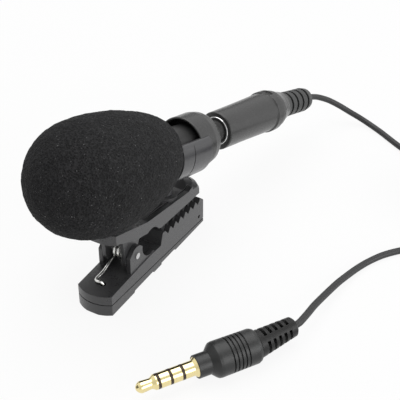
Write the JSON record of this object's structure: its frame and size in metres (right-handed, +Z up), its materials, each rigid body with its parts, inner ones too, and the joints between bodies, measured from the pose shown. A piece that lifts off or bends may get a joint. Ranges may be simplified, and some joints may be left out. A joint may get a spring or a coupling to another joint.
{
  "type": "clip-on lavalier microphone",
  "caption": "Clip-on lavalier microphone with a foam windscreen, a sprung toothed clip, a turning C-shaped holder and an extension lead with a moulded socket and a jack plug.",
  "frame": {"origin": "centre of the lower jaw's underside, on the plane that the clip lies on", "axes": "+X from the clip's finger pad to its nose, +Z up, +Y to the clip's left"},
  "size_m": [0.1291, 0.0969, 0.0466],
  "materials": {
    "foam": "open-cell foam, charcoal black",
    "steel": "satin",
    "brass": "satin",
    "black_plastic": "moulded, matte",
    "charcoal_plastic": "moulded, satin",
    "gold_plate": "gold plated, polished",
    "insulator": "moulded",
    "holder_plastic": "moulded, satin",
    "jaw_plastic": "moulded, fine texture",
    "spring_steel": "drawn wire",
    "chrome": "polished",
    "soft_plastic": "soft moulded",
    "cord_sheath": "soft sheath"
  },
  "bodies": {
    "lead": {"socket_barrel": "charcoal_plastic", "socket_bushing": "chrome", "socket_core": "black_plastic", "contact_sleeve": "gold_plate", "contact_ring": "gold_plate", "contact_tip": "gold_plate", "socket_boot": "soft_plastic", "cord_from_socket": "cord_sheath", "cord_coil": "cord_sheath", "coil_tie": "soft_plastic", "cord_to_plug": "cord_sheath", "plug_boot": "soft_plastic", "plug_grip": "charcoal_plastic", "plug_insulator": "insulator", "plug_sleeve": "gold_plate", "plug_ring_1": "gold_plate", "plug_ring_2": "gold_plate", "plug_tip": "gold_plate"},
    "microphone": {"capsule_tube": "black_plastic", "capsule_grille": "steel", "mic_capsule": "brass", "mic_body": "charcoal_plastic", "mic_plug_sleeve": "gold_plate", "mic_plug_insulator": "insulator", "mic_plug_ring": "gold_plate", "mic_plug_tip": "gold_plate", "mic_holder": "holder_plastic", "swivel_rivet": "steel"},
    "windscreen": {"foam_windscreen": "foam"},
    "upper_clip": {"upper_jaw": "jaw_plastic"},
    "lower_clip": {"lower_jaw": "jaw_plastic", "hinge_pin": "steel", "torsion_spring": "spring_steel"}
  },
  "joints": [
    {"name": "unplug", "type": "slide", "parent": "lead", "child": "microphone", "axis": [-0.9692, 0.1478, 0.1972], "range_m": [0, 0.015]},
    {"name": "windscreen_pull", "type": "slide", "parent": "microphone", "child": "windscreen", "axis": [-0.9692, 0.1478, 0.1972], "range_m": [0, 0.018]},
    {"name": "clip_swivel", "type": "hinge", "parent": "microphone", "child": "upper_clip", "pos_m": [0.0113, 0, 0.0262], "axis": [0.1994, 0, 0.9799], "range_deg": [-60, 60]},
    {"name": "jaw_hinge", "type": "hinge", "parent": "upper_clip", "child": "lower_clip", "pos_m": [-0.0093, 0, 0.0098], "axis": [0, 1, 0], "range_deg": [0, 25], "stiffness_Nm_per_rad": 0.05, "springref_deg": -45.84, "deforming": ["torsion_spring"]}
  ]
}
